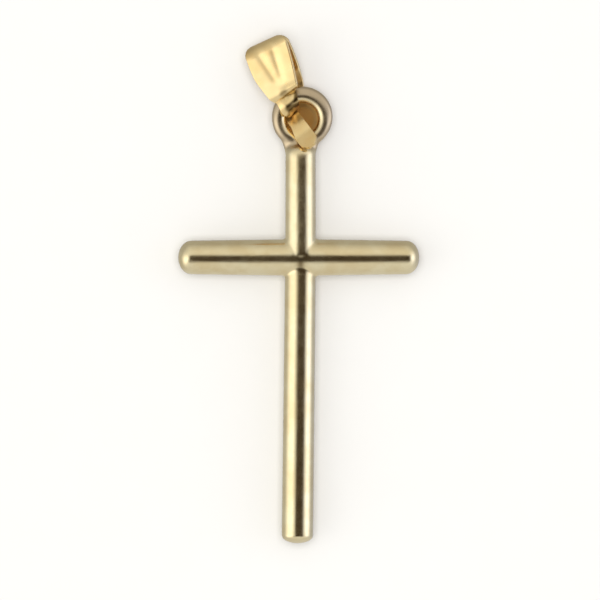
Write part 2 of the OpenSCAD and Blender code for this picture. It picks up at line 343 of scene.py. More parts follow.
def bring_to_metres(obj: bpy.types.Object) -> None:
    """Bring a piece from the bench size to metres, and smooth its shading.

    Args:
        obj: The piece.
    """
    obj.vertex_groups.clear()
    pick(obj)
    obj.scale = (MM, MM, MM)
    bpy.ops.object.transform_apply(location=True, rotation=True, scale=True)
    bpy.ops.object.shade_smooth()


class Finish:
    """Builds the nodes of one procedural finish."""

    NOISE_SPAN = (0.3, 0.7)  # what a noise's values mostly keep to

    def __init__(self, name: str) -> None:
        """Start an empty material with its shader and output.

        Args:
            name: Name of the material.
        """
        self.material = bpy.data.materials.new(name)
        self.material.use_nodes = True
        self.tree = self.material.node_tree
        self.tree.nodes.clear()
        self.shader = self.node("ShaderNodeBsdfPrincipled")
        output = self.node("ShaderNodeOutputMaterial")
        self.link(self.shader, "BSDF", output, "Surface")
        self.place = self.node("ShaderNodeTexCoord")

    def node(self, kind: str, **values: object) -> bpy.types.Node:
        """Add a node and set its named inputs or properties.

        Args:
            kind: The node's type.
            **values: Inputs by name, or else properties.

        Returns:
            The node.
        """
        made = self.tree.nodes.new(kind)
        for key, value in values.items():
            label = key.replace("_", " ").title()
            if label in made.inputs:
                made.inputs[label].default_value = value
            else:
                setattr(made, key, value)
        return made

    def link(self, a: bpy.types.Node, out: str | int, b: bpy.types.Node, into: str | int) -> None:
        """Join an output of node a to an input of node b."""
        self.tree.links.new(a.outputs[out], b.inputs[into])

    def noise(self, size_mm: float, stretch: tuple = (1, 1, 1), detail: float = 3) -> bpy.types.Node:
        """Add a noise over the piece's own coordinates.

        Args:
            size_mm: Size of its spots in millimetres.
            stretch: Scale along X, Y and Z.
            detail: Finer layers in it.

        Returns:
            The noise node.
        """
        scale = 1 / (size_mm * MM)
        mapping = self.node("ShaderNodeMapping")
        mapping.inputs["Scale"].default_value = [scale * s for s in stretch]
        self.link(self.place, "Object", mapping, "Vector")
        noise = self.node("ShaderNodeTexNoise", scale=1.0, detail=detail)
        self.link(mapping, "Vector", noise, "Vector")
        return noise

    def spread(self, source: bpy.types.Node, low: float, high: float) -> bpy.types.Node:
        """Map a noise to a range.

        Args:
            source: Node whose first output is read.
            low: Value at the low end.
            high: Value at the high end.

        Returns:
            The range node.
        """
        span = self.node("ShaderNodeMapRange", to_min=low, to_max=high)
        for end, value in zip(("From Min", "From Max"), self.NOISE_SPAN):
            span.inputs[end].default_value = value
        self.link(source, 0, span, "Value")
        return span

    def toned(
        self, source: bpy.types.Node, span: tuple[float, float], low: Colour, high: Colour
    ) -> bpy.types.Node:
        """Turn a node's value into a tone between two colours.

        Args:
            source: Node whose first output is read.
            span: Values at which the two colours stand.
            low: Colour at the low end.
            high: Colour at the high end.

        Returns:
            The colour ramp's node.
        """
        ramp = self.node("ShaderNodeValToRGB")
        for stop, place, colour in zip(ramp.color_ramp.elements, span, (low, high)):
            stop.position = place
            stop.color = (*colour, 1)
        self.link(source, 0, ramp, "Fac")
        return ramp

    def covered(self, base: bpy.types.Node, name: str, colour: Colour) -> bpy.types.Node:
        """Lay a colour over another, as thick as the piece's attribute says.

        Args:
            base: Node whose colour lies below.
            name: Name of the attribute.
            colour: The colour on top.

        Returns:
            The mixing node.
        """
        share = self.node("ShaderNodeAttribute", attribute_name=name)
        cover = self.node("ShaderNodeMixRGB", color2=(*colour, 1))
        self.link(share, "Fac", cover, "Fac")
        self.link(base, "Color", cover, "Color1")
        return cover


@dataclass(frozen=True)
class PolishedGold:
    """Hand-polished gold: its alloy's colours, gloss, shallow dents and hair scratches, in millimetres.

    A piece's attributes say where painted shade lies, which also dulls it, and where a darker painted shade
    lies.
    """

    name: str
    bright: Colour
    deep: Colour
    # colour of the painted shade, laid on as the piece's shade attribute says
    shade: Colour
    gloss: tuple[float, float]
    dull: float
    brushed: BrushMark
    # colour of the darker painted shade in seams and nooks
    painted_deep_shade: Colour = (0.13, 0.075, 0.02)
    tone_size: float = 1.6
    tone_span: tuple[float, float] = (0.36, 0.62)
    gloss_size: float = 0.7
    dent_size: float = 0.85
    dent_depth: float = 0.0022
    hair_size: float = 0.05
    hair_depth: float = 0.0004

    def made(self) -> bpy.types.Material:
        """Build the material.

        Returns:
            The material.
        """
        finish = Finish(self.name)
        finish.shader.inputs["Metallic"].default_value = 1.0
        alloy = finish.toned(finish.noise(self.tone_size, detail=4), self.tone_span, self.deep, self.bright)
        # Painted shade over the alloy's tone, then the darker painted shade
        shaded = finish.covered(alloy, "shade", self.shade)
        deep_shaded = finish.covered(shaded, "painted_deep_shade", self.painted_deep_shade)
        finish.link(deep_shaded, "Color", finish.shader, "Base Color")
        gloss = finish.spread(finish.noise(self.gloss_size, detail=5), *self.gloss)
        # The painted shade's share also dulls the gloss
        cast = finish.node("ShaderNodeAttribute", attribute_name="shade")
        rough = finish.node("ShaderNodeMath", operation="MULTIPLY_ADD")
        rough.inputs[1].default_value = self.dull
        finish.link(cast, "Fac", rough, 0)
        finish.link(gloss, "Result", rough, 2)
        finish.link(rough, 0, finish.shader, "Roughness")
        dents = finish.noise(self.dent_size, detail=2)
        hairs = finish.noise(self.hair_size, self.brushed.value, detail=4)
        low = finish.node("ShaderNodeBump", strength=1.0, distance=self.dent_depth * MM)
        high = finish.node("ShaderNodeBump", strength=1.0, distance=self.hair_depth * MM)
        finish.link(dents, 0, low, "Height")
        finish.link(hairs, 0, high, "Height")
        finish.link(low, "Normal", high, "Normal")
        finish.link(high, "Normal", finish.shader, "Normal")
        return finish.material


@dataclass(frozen=True)
class PlainCard:
    """A matt floor with a faint grain, whose size is in millimetres."""

    name: str
    colour: Colour
    grain: float = 0.02
    grain_size: float = 3.0
    matt: float = 0.9

    def made(self) -> bpy.types.Material:
        """Build the material.

        Returns:
            The material.
        """
        finish = Finish(self.name)
        finish.shader.inputs["Roughness"].default_value = self.matt
        finish.shader.inputs["Specular IOR Level"].default_value = 0.0
        darker = tuple(c * (1 - self.grain) for c in self.colour)
        tone = finish.toned(finish.noise(self.grain_size), (0, 1), darker, self.colour)
        finish.link(tone, "Color", finish.shader, "Base Color")
        return finish.material


@dataclass
class CrossBody:
    """The soldered cross: arms, stem, shoulder and eye ring, with its lengths in millimetres."""

    # Arms, stem and shoulder
    arm_span: float = 17.0
    arm_mid_r: float = 1.3
    arm_end_r: float = 1.19
    arm_dome: float = 0.92
    arm_offset: float = 0.13
    stem_r: float = 1.09
    foot_r: float = 1.11
    foot_drop: float = 20.14
    foot_dome: float = 0.56
    stem_lean: float = math.radians(0.65)
    shoulder_r: float = 1.07
    shoulder_lap: float = 0.09
    shoulder_past: float = 0.23
    shoulder_dome: float = 0.56
    bar_lap: float = 0.65
    upper_lap: float = 0.1
    upper_lift: float = 0.3
    shoulder_lift: float = 0.05
    # Eye ring and the web under it
    eye_rise: float = 9.78
    eye_offset: float = 0.085
    eye_r: float = 1.61
    wire_r: float = 0.49
    crown: float = 0.18
    crown_turn: float = math.radians(75)
    hoop_thinner: float = 0.07
    hoop_sunk: float = 0.045
    web_down: float = 0.62
    web_up: float = 0.48
    web_inset: float = 0.04
    web_flat: float = 0.33
    ring_faces: tuple[int, int] = (144, 48)
    # Skin over the joined parts, and the passes that soften it
    skin_grain: float = 0.075
    smoothing: float = 0.5
    skin_passes: int = 10
    corner_passes: int = 12
    crest_passes: int = 40
    root_passes: int = 110
    # Reach of the solder, from the crossing or the shoulder
    fillet_up: float = 0.5
    fillet_down: float = 0.9
    crest_across: Band = Band(0, 0.35, 1.3)
    crest_along: Band = Band(-0.7, 0.45, 1.4)
    root_solder: Patch = Patch((0, 0.1), (1.8, 0.8), 1.2)
    # Dark painted shade in the seam, and painted shade on the eye ring
    shade_strength: float = 0.75
    seam_shade_across: float = 0.27
    seam_shade_middle: float = -0.4
    seam_shade_along: float = 0.36
    ring_shade_fade: Fade = Fade(-0.4, 0.5)
    inner_shade: float = 0.2
    inner_side: Fade = Fade(1.4, 0.25)
    # The gold's shade colour is the painted shade on the eye ring and its root
    gold: PolishedGold = PolishedGold(
        "pale_polished_gold", bright=(0.93, 0.82, 0.55), deep=(0.86, 0.72, 0.44), shade=(0.62, 0.5, 0.34),
        gloss=(0.165, 0.235), dull=0.1, brushed=BrushMark.ALONG_STEM, dent_depth=0.0036,
    )
    parts: list[bpy.types.Object] = field(default_factory=list)

    @property
    def crossing(self) -> Vector:
        """Where the stem's line crosses the arms' line.

        Returns:
            The place, in millimetres.
        """
        foot = self.foot_drop * math.cos(self.stem_lean)
        return Vector(
            ((CROSS_LOW.x + CROSS_HIGH.x) / 2 + self.arm_offset, CROSS_LOW.y + foot, self.arm_mid_r)
        )

    @property
    def eye(self) -> Vector:
        """Middle of the eye ring."""
        return self.crossing + Vector((self.eye_offset, self.eye_rise, 0))

    @property
    def shoulder(self) -> float:
        """Height of the shoulder above the crossing."""
        return self.eye_rise - self.eye_r - self.wire_r + self.shoulder_lap

    def arms(self) -> None:
        """Turn the two arms, which thin towards their rounded tips."""
        tip = self.arm_span / 2
        middle = self.crossing - Vector((self.arm_offset, 0, 0))
        for side in (-1, 1):
            profile = [(0, self.arm_mid_r), *domed(tip, self.arm_end_r, self.arm_dome)]
            bar = turned_bar("arm", profile)
            self.parts.append(set_down(bar, (0, side * math.pi / 2, 0), middle))

    def stem(self) -> None:
        """Turn the lower stem with its rounded foot, and the upper stem up to its shoulder."""
        foot = [(-self.bar_lap, self.stem_r), *domed(self.foot_drop, self.foot_r, self.foot_dome)]
        lower = turned_bar("lower_stem", foot)
        self.parts.append(set_down(lower, (math.pi / 2, 0, -self.stem_lean), self.crossing))
        dome = domed(self.shoulder + self.shoulder_past, self.shoulder_r, self.shoulder_dome)
        upper = turned_bar("upper_stem", [(self.upper_lap, self.stem_r), *dome])
        tilt = math.atan((self.upper_lift - self.shoulder_lift) / self.shoulder)
        seat = self.crossing + Vector((0, 0, self.upper_lift))
        self.parts.append(set_down(upper, (-math.pi / 2 - tilt, 0, 0), seat))

    def eye_ring(self) -> None:
        """Bend the eye ring's wire, with the thicker hoop that its top wears."""
        thin = self.wire_r - self.hoop_thinner
        shift = self.crown - self.hoop_sunk
        lean = Vector((math.cos(self.crown_turn), math.sin(self.crown_turn), 0)) * shift
        outer = self.eye_r + self.wire_r + self.crown - shift - thin
        for radius, wire, place in ((self.eye_r, self.wire_r, self.eye), (outer, thin, self.eye + lean)):
            deselect()
            bpy.ops.mesh.primitive_torus_add(
                major_segments=self.ring_faces[0], minor_segments=self.ring_faces[1],
                major_radius=radius, minor_radius=wire,
            )
            self.parts.append(set_down(added("eye_hoop"), (0, 0, 0), place))

    def web(self) -> None:
        """Flare the solder between the shoulder and the eye ring, rounded across and low."""
        low, high = self.shoulder - self.web_down, self.shoulder + self.web_up
        out = self.eye_r + self.wire_r - self.web_inset
        top = math.sqrt(out**2 - (self.eye_rise - high) ** 2)
        web = turned_bar("web", [(low, self.shoulder_r - self.web_inset / 2), (high, top)])
        web.scale = (1, self.web_flat, 1)
        self.parts.append(set_down(web, (-math.pi / 2, 0, 0), self.crossing))

    def from_crossing(self, point: Vector) -> tuple[float, float]:
        """How far to the right of the crossing a point lies, and how far up."""
        return point.x - self.crossing.x, point.y - self.crossing.y

    def corner_weight(self, point: Vector) -> float:
        """How strongly the solder in the seam between stem and arms rounds a point.

        Args:
            point: Point of the cross's skin.

        Returns:
            The weight, from 0 to 1.
        """
        across, along = self.from_crossing(point)
        lift, reach = (self.upper_lift, self.fillet_up) if along > 0 else (0.0, self.fillet_down)
        arm = bar_height(self.arm_mid_r, abs(along))
        stem = bar_height(self.stem_r, abs(across))
        return soft(1 - abs(arm - stem - lift) / reach)

    def crest_weight(self, point: Vector) -> float:
        """How strongly the seam is rounded along the middle of the lower stem."""
        across, along = self.from_crossing(point)
        return self.crest_across.at(across) * self.crest_along.at(along)

    def root_weight(self, point: Vector) -> float:
        """How strongly the solder at the eye ring's root rounds a point."""
        across, along = self.from_crossing(point)
        return self.root_solder.at(across, along - self.shoulder)

    def ring_shade(self, point: Vector) -> float:
        """Share of painted shade at a point: on the eye ring and its root, less inside the ring.

        Args:
            point: Point of the cross's skin.

        Returns:
            The share, from 0 to 1.
        """
        along = self.from_crossing(point)[1] - self.shoulder
        off = math.hypot(point.x - self.eye.x, point.y - self.eye.y)
        return self.ring_shade_fade.at(along) * mix(self.inner_shade, 1, self.inner_side.at(off))

    def seam_shade(self, point: Vector) -> float:
        """Share of dark painted shade at a point: on the front, in the seam of the arms and the lower stem.

        Args:
            point: Point of the cross's skin.

        Returns:
            The share, from 0 to 1.
        """
        if point.z < self.crossing.z:
            return 0.0
        across, along = self.from_crossing(point)
        off = (across / self.seam_shade_across) ** 2 + ((along - self.seam_shade_middle) / self.seam_shade_along) ** 4
        return self.shade_strength * math.exp(-off)

    def build(self) -> bpy.types.Object:
        """Make the parts, solder them into one skin and finish it.

        Returns:
            The finished cross.
        """
        self.arms()
        self.stem()
        self.eye_ring()
        self.web()
        cross = joined("cross_body", self.parts)
        worked(cross, "REMESH", mode="VOXEL", voxel_size=self.skin_grain, use_smooth_shade=True)
        worked(cross, "SMOOTH", factor=self.smoothing, iterations=self.skin_passes)
        for name, weight, passes in (
            ("corners", self.corner_weight, self.corner_passes),
            ("crest", self.crest_weight, self.crest_passes),
            ("root", self.root_weight, self.root_passes),
        ):
            group = weigh(cross, name, weight)
            worked(cross, "SMOOTH", factor=self.smoothing, iterations=passes, vertex_group=group)
        # Painted shade on the eye ring and its root, then dark painted shade in the seam
        mark(cross, "shade", self.ring_shade)
        mark(cross, "painted_deep_shade", self.seam_shade)
        bring_to_metres(cross)
        return cross

    def dress(self, cross: bpy.types.Object) -> None:
        """Polish the cross and fix it to its body.

        Args:
            cross: The finished cross.
        """
        cross.data.materials.clear()
        cross.data.materials.append(self.gold.made())
        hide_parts("cross")
        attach(cross, "root")


class Stage(IntEnum):
    """Stages of the bail's strip.

    They are the hook's neck, the front leaf, the fold, the strap of the back leaf, the tongue's rise
    through the eye, its tip over the ring's foot, and the tongue's end.
    """

    NECK = 0
    LEAF = 1
    FOLD = 2
    STRAP = 3
    RISE = 4
    TIP = 5
    END = 6


@dataclass(frozen=True)
class Row:
    """A cut across the strip: its stage, its two edges from the bail's line, and its slant."""

    at: float
    left: float
    right: float
    skew: float


@dataclass(frozen=True)
class SheetMarks:
    """Where painted shade lies on the bail's sheet, by the places across, along and in front of its line.
    """

    # Painted shade on the back leaf behind the eye, lighter towards the eye's rim
    behind: Fade = Fade(-0.2, -0.3)
    below: Fade = Fade(0.3, -0.3)
    eye_rim: Fade = Fade(0.7, 0.3)
    rim_lighter: float = 0.4
    # Dark painted shadow in the nook of the hook and along the eye's right side
    front: float = -0.1
    shade_strength: float = 0.9
    nook: Patch = Patch((-0.02, -0.52), (0.3, 0.26), 1.5)
    dip: Patch = Patch((0, 0.59), (0.3, 0.2), 1.5, 0.55)
    turn: Band = Band(-0.5, 0.16, 1.4)
    turn_right: Fade = Fade(-0.1, 0.2)
    edge_top: float = 0.49
    edge_length: float = 0.83
    edge_across: tuple[float, float] = (0.98, 0.54)
    edge_reach: float = 0.19
    edge_out: float = 1.45
    edge_ends: tuple[Fade, Fade] = (Fade(-0.1, 0.25), Fade(1.15, -0.25))
    # Thin painted shade at the fold, with three darker tips
    fold: Fade = Fade(3.6, 0.14)
    fold_shade: float = 0.08
    fold_left: Fade = Fade(-0.2, -0.6)
    fold_left_shade: float = 0.13
    tips: tuple[float, ...] = (-0.92, 0.06, 1.07)
    tips_up: float = 3.72
    tip_reach: tuple[float, float] = (0.2, 0.1)
    tip_shade: float = 0.16

    def shade(self, place: Vector, eye: tuple[float, float]) -> float:
        """Share of painted shade: on the back leaf behind the eye, and less towards the eye's rim.

        Args:
            place: Place on the sheet.
            eye: Middle of the eye, across and along the bail.

        Returns:
            The share, from 0 to 1.
        """
        off = math.hypot(place.x - eye[0], place.y - eye[1])
        deep = self.behind.at(place.z) * self.below.at(place.y)
        return deep * (1 - self.rim_lighter * self.eye_rim.at(off))

    def deep_shade_share(self, place: Vector) -> float:
        """Share of the dark painted shade: in the nook where the hook turns into the eye, and thin at the
        fold.

        Args:
            place: Place on the sheet.

        Returns:
            The share, from 0 to 1.
        """
        x, y = place.x, place.y
        if place.z < self.front:
            return 0.0
        down = (self.edge_top - y) / self.edge_length
        edge = Band(mix(*self.edge_across, down), self.edge_reach, self.edge_out).at(x)
        for end in self.edge_ends:
            edge *= end.at(down)
        turn = self.turn.at(y) * self.turn_right.at(x)
        fold = self.fold.at(y) * (self.fold_shade + self.fold_left_shade * self.fold_left.at(x))
        for tip in self.tips:
            off = ((x - tip) / self.tip_reach[0]) ** 2 + ((y - self.tips_up) / self.tip_reach[1]) ** 2
            fold += self.tip_shade * math.exp(-off)
        return min(max(self.nook.at(x, y), self.dip.at(x, y), turn, edge, fold), 1.0) * self.shade_strength


@dataclass
class FoldedBail:
    """The bail: one strip of sheet, hooked over the eye ring, folded over and passed through the eye.

    Lengths are in millimetres, and leaf_rise, neck_hump, strap_end, roll_v, roll_low, steepen and
    edge_round are shares. In its own frame v runs across it, u up its line from the grip on the ring's
    wire, and w to its front. A place along the strip is a stage and a share of the way to the next.
    """

    cross: CrossBody
    width: float = 3.2
    rise: float = 4.54
    depth: float = 2.0
    sheet: float = 0.3
    leaf_rise: float = 0.08
    corner_r: float = 0.65
    # Hook round the ring's wire, with a hump that is longest at its left edge
    neck: float = 1.35
    lean: float = math.radians(24)
    grip_angle: float = math.radians(131)
    neck_turn: float = math.radians(176)
    neck_from: float = math.radians(66)
    neck_hump: float = 0.33
    hump_turn: float = math.radians(112)
    hump_angle: float = math.radians(22)
    hump_wider: float = 2.59
    hump_side: Fade = Fade(-0.75, 0.55)
    gap: float = 0.13
    floor_gap: float = 0.01
    # Tongue, and the round end of the back leaf that it springs from
    tongue: float = 1.04
    tongue_tip: float = 1.28
    tongue_side: float = 0.055
    tongue_slant: float = math.radians(12.5)
    tongue_past: float = 0.5
    tongue_spring: float = 0.08
    tongue_land: float = 0.45
    tongue_bow: float = 1.5
    tip_round: float = 0.55
    tip_end: float = 0.32
    strap_past: float = 0.42
    strap_end: float = 0.94
    strap_rise: Fade = Fade(0.15, 0.3)
    lobe_round: float = 0.1
    lobe_end: float = 0.5
    # Roll about the bail's line, flutes, the curled corner and the fold
    roll: float = math.radians(20)
    roll_v: float = 0.04
    roll_low: float = 0.39
    roll_span: Window = Window(0.2, 0.4, 3.42, 0.18)
    leaf_roll: Fade = Fade(1, 0.09)
    neck_roll: float = 1.3
    neck_roll_v: float = -0.15
    flute_depth: float = 0.044
    flute_w: float = 0.27
    flute_left: tuple[float, float] = (0, -0.13)
    flute_right: tuple[float, float] = (0.1, 0.2)
    flute_span: Window = Window(0.24, 0.2, 1.3, 0.25)
    curl: float = 0.04
    curl_span: Window = Window(0.05, 0.3, 0.95, 0.5)
    curl_side: Fade = Fade(-0.2, 0.7)
    crease: float = math.radians(13)
    steepen: float = 0.12
    steepen_side: Fade = Fade(0.5, 0.5)
    # Steps of the mesh, by stage and in faces, and the rounding of the sheet's edges
    slant_from: float = 1.4
    probe: float = 0.04
    end_short: float = 0.005
    leaf_faces: tuple[int, int] = (132, 36)
    tongue_faces: tuple[int, int] = (44, 16)
    edge_round: float = 0.32
    edge_profile: float = 0.6
    edge_angle: float = math.radians(60)
    edge_cuts: int = 3
    weld: float = 0.004
    marks: SheetMarks = SheetMarks()
    # The gold's shade colour is the orange painted shade on the back leaf behind the eye
    gold: PolishedGold = PolishedGold(
        "yellow_polished_gold", bright=(1.0, 0.79, 0.42), deep=(0.95, 0.68, 0.31), shade=(0.95, 0.55, 0.18),
        gloss=(0.26, 0.34), dull=0.2, brushed=BrushMark.ALONG_BAIL,
    )

    def __post_init__(self) -> None:
        """Work out the sizes that follow from the others."""
        eye_r, wire_r = self.cross.eye_r, self.cross.wire_r
        slant = self.grip_angle - math.pi / 2 - self.lean
        self.wire_skew = math.tan(slant)
        self.tongue_skew = math.tan(self.tongue_slant)
        self.eye_u, self.eye_v = -eye_r * math.cos(slant), eye_r * math.sin(slant)
        self.hook_w = wire_r + self.gap + self.sheet / 2
        self.hook_u = self.hook_w / math.cos(slant)
        lowest = -(self.cross.arm_mid_r - self.sheet / 2 - self.floor_gap)
        self.back_w = lowest + math.tan(self.roll) * (self.roll_v + self.roll_low) * self.width
        self.front_w = self.back_w + self.depth - self.sheet
        self.fold_r = (self.depth - self.sheet) / (1 + math.cos(self.crease))
        self.top_u = self.rise - self.sheet / 2
        self.fold_u = self.top_u - self.fold_r
        self.foot_u = self.eye_u - eye_r * math.cos(self.tongue_slant)
        self.over_u = self.foot_u + self.tongue_land
        self.tip_u = self.foot_u - self.tongue_past
        over_shoulder = self.cross.shoulder_lift + self.cross.shoulder_r + self.gap
        self.tip_w = over_shoulder + self.sheet / 2 + self.tongue_spring
        self.back_end_u = self.eye_u - self.strap_end * eye_r
        self.rows = self.strip_rows()
        self.tab_rows = self.tongue_rows()

    def tongue_right(self, u: float) -> float:
        """Right edge of the tongue at a place along the bail."""
        return self.eye_v + self.tongue_side - (u - self.eye_u) * self.tongue_skew

    def strap_stage(self, u: float) -> float:
        """Stage at which the back leaf reaches a place along the bail."""
        return Stage.STRAP + (self.fold_u - u) / (self.fold_u - self.back_end_u)

    def strip_rows(self) -> list[Row]:
        """Rows of the strip, whose edges are shares of its widths or of the eye.

        Returns:
            The rows, by their stages.
        """
        # Stage, and the left and right edges as shares of the neck's width
        neck = [(0, -0.1, 0.4), (0.5, -0.45, 0.54), (1, -0.53, 0.76)]
        # Stage, the edges as shares of the leaf's width, and the share of the wire's slant
        leaf = [
            (1.08, -0.325, 0.36, 0.35), (1.17, -0.358, 0.378, 0.05), (1.25, -0.383, 0.395, 0),
            (1.39, -0.42, 0.43, 0), (1.57, -0.452, 0.47, 0), (1.79, -0.456, 0.51, 0),
            (2.0, -0.442, 0.54, 0), (2.5, -0.435, 0.57, 0), (3.0, -0.42, 0.592, 0),
            (self.strap_stage(0.52 * self.fold_u), -0.38, 0.562, 0),
            (self.strap_stage(0.25 * self.fold_u), -0.34, 0.518, 0),
        ]
        # Height over the eye's middle and the edges from it, as shares of the eye's radius
        lobe = [
            (1.05, -0.79, 0.63), (0.54, -0.84, 0.84), (0, -0.9, 0.9), (-0.52, -0.65, 0.68),
            (-self.strap_end, -0.25, 0.28),
        ]
        n, w, r, skew = self.neck, self.width, self.cross.eye_r, self.wire_skew
        rows = [Row(at, left * n, right * n, skew) for at, left, right in neck]
        rows += [Row(at, left * w, right * w, share * skew) for at, left, right, share in leaf]
        rows += [
            Row(self.strap_stage(self.eye_u + up * r), self.eye_v + left * r, self.eye_v + right * r, 0)
            for up, left, right in lobe
        ]
        return rows

    def tongue_rows(self) -> list[Row]:
        """Rows of the tongue, from its root in the back leaf to its tip.

        Returns:
            The rows, by their stages.
        """
        rows = []
        # Share of the rise through the eye, and share of the tongue's width
        for t, share in ((0, 0.62), (0.12, 0.67), (0.24, 0.82), (0.36, 0.97), (0.6, 1)):
            right = self.tongue_right(mix(-self.strap_past, self.over_u, t))
            rows.append(Row(Stage.RISE + t, right - share * self.tongue, right, self.tongue_skew))
        for at, u in ((Stage.TIP, self.over_u), (Stage.END, self.tip_u)):
            right = self.tongue_right(u)
            rows.append(Row(at, right - self.tongue_tip, right, self.tongue_skew))
        return rows

    def row_at(self, x: float) -> Row:
        """The cut across the strip at any stage, on a smooth curve through the rows.

        Args:
            x: The stage.

        Returns:
            The cut.
        """
        rows = self.rows if x < Stage.RISE else self.tab_rows
        i = max(k for k in range(len(rows) - 1) if rows[k].at <= x)
        step = rows[i + 1].at - rows[i].at
        t = (x - rows[i].at) / step
        blend = (2 * t**3 - 3 * t**2 + 1, t**3 - 2 * t**2 + t, 3 * t**2 - 2 * t**3, t**3 - t**2)

        def slope(k: int, name: str) -> float:
            """Slope of a column at row k."""
            a, b = rows[max(k - 1, 0)], rows[min(k + 1, len(rows) - 1)]
            return (getattr(b, name) - getattr(a, name)) / (b.at - a.at) * step

        values = [
            blend[0] * getattr(rows[i], name) + blend[1] * slope(i, name)
            + blend[2] * getattr(rows[i + 1], name) + blend[3] * slope(i + 1, name)
            for name in ("left", "right", "skew")
        ]
        return Row(x, *values)

    def hook_at(self, turn: float, across: float) -> tuple[float, float]:
        """Place on the hook at an angle round the eye ring's wire; the hook humps over its inner side.

        Args:
            turn: The angle, in radians.
            across: Place across the sheet, from -1 to 1.

        Returns:
            The place, as u and w.
        """
        width = self.hump_angle * mix(self.hump_wider, 1, self.hump_side.at(across))
        hump = 1 + self.neck_hump * math.exp(-(((turn - self.hump_turn) / width) ** 2))
        return self.hook_u * hump * math.cos(turn), self.hook_w * hump * math.sin(turn)

    def path(self, x: float, across: float = 0) -> tuple[float, float]:
        """Middle of the sheet at a stage: how far up the bail, and how far to its front.

        Args:
            x: The stage.
            across: Place across the sheet, from -1 to 1.

        Returns:
            The place, as u and w.
        """
        stage = Stage(min(int(x), Stage.TIP))
        t = x - stage
        if stage is Stage.NECK:
            return self.hook_at(mix(self.neck_turn, self.neck_from, t), across)
        reach = self.fold_r * (1 - self.steepen * self.steepen_side.at(across))
        if stage is Stage.LEAF:
            end = self.top_u - reach * (1 - math.sin(self.crease))
            start_u, start_w = self.hook_at(self.neck_from, across)
            return mix(start_u, end, t), mix(start_w, self.front_w, soft(t / self.leaf_rise))
        if stage is Stage.FOLD:
            a = mix(self.crease, math.pi, t)
            return self.top_u - reach * (1 - math.sin(a)), self.back_w + self.fold_r * (1 + math.cos(a))
        if stage is Stage.STRAP:
            late = (self.fold_r - reach) * (1 - t) ** 3
            w = mix(self.back_w, -self.hook_w, self.strap_rise.at(t))
            return mix(self.fold_u, self.back_end_u, t) + late, w
        if stage is Stage.RISE:
            bow = 1 - (1 - t) ** self.tongue_bow
            return mix(-self.strap_past, self.over_u, t), mix(-self.hook_w, self.hook_w, bow)
        return mix(self.over_u, self.tip_u, t), mix(self.hook_w, self.tip_w, t)

    def corner_inset(self, x: float, u: float) -> float:
        """How far the bail's round top corners pull an edge in, within half a stage of the fold.

        Args:
            x: The stage.
            u: How far up the bail the edge is there.

        Returns:
            The inset.
        """
        reach = (self.top_u - u) * (1 + self.sheet / 2 / self.fold_r)
        if not Stage.LEAF + 0.5 < x < Stage.STRAP + 0.5 or reach >= self.corner_r:
            return 0.0
        return self.corner_r - math.sqrt(self.corner_r**2 - (self.corner_r - max(reach, 0)) ** 2)

    def end_share(self, x: float) -> float:
        """Share of its width that the strip keeps at a stage: less at the round ends of lobe and tongue.

        Args:
            x: The stage.

        Returns:
            The share, from 0 to 1.
        """
        end, reach, last = Stage.END, self.tip_round, self.tip_end
        if x < Stage.RISE:
            end, reach, last = Stage.RISE, self.lobe_round, self.lobe_end
        return math.sqrt(1 - (1 - last**2) * (max(x - end + reach, 0) / reach) ** 2)

    def flute(self, x: float, v: float) -> float:
        """Depth of the two flutes at a place on the front leaf.

        Args:
            x: The stage.
            v: Place across the bail.

        Returns:
            The depth.
        """
        t, start = x - Stage.LEAF, self.flute_span.start
        up = min(max((t - start) / (1 - start), 0), 1)
        middles = [mix(*ends, up) * self.width for ends in (self.flute_left, self.flute_right)]
        flutes = sum(math.exp(-(((v - m) / self.flute_w) ** 2)) for m in middles)
        return self.flute_depth * self.flute_span.at(t) * flutes

    def point(self, x: float, across: float) -> Vector:
        """Middle of the sheet at a stage and a place across it from -1 to 1, in the bail's own frame.

        Args:
            x: The stage.
            across: Place across the sheet, from -1 to 1.

        Returns:
            The place, as v, u and w.
        """
        row = self.row_at(x)
        left = row.left + self.corner_inset(x, self.path(x, -1)[0])
        right = row.right - self.corner_inset(x, self.path(x, 1)[0])
        middle = (left + right) / 2
        v = middle + (right - left) / 2 * across * self.end_share(x)
        a = self.path(max(x - self.probe, Stage.NECK), across)
        b = self.path(min(x + self.probe, Stage.END), across)
        out = Vector((-(b[1] - a[1]), b[0] - a[0])).normalized()
        u, w = self.path(x, across)
        dent = self.flute(x, v)
        skew = row.skew * (v - (0 if x < self.slant_from else middle))
        lift = self.rolled(x, v) - self.curled(x, v)
        return Vector((v, u - dent * out.x + skew, w - dent * out.y + lift))

    def rolled(self, x: float, v: float) -> float:
        """How far the roll about the bail's own line lifts a point of the sheet.

        Args:
            x: The stage.
            v: Place across the bail.

        Returns:
            The lift.
        """
        at_neck = self.neck_roll * min(v - self.neck_roll_v, 0)
        on_leaf = v - self.roll_v * self.width
        return math.tan(self.roll) * self.roll_span.at(x) * mix(at_neck, on_leaf, self.leaf_roll.at(x))

    def curled(self, x: float, v: float) -> float:
        """How far the front leaf's lower right corner is curled down towards the eye ring.

        Args:
            x: The stage.
            v: Place across the bail.

        Returns:
            The drop.
        """
        if x >= Stage.FOLD:
            return 0.0
        up = (x - Stage.LEAF) * self.fold_u
        return self.curl * self.curl_span.at(up) * self.curl_side.at(v)

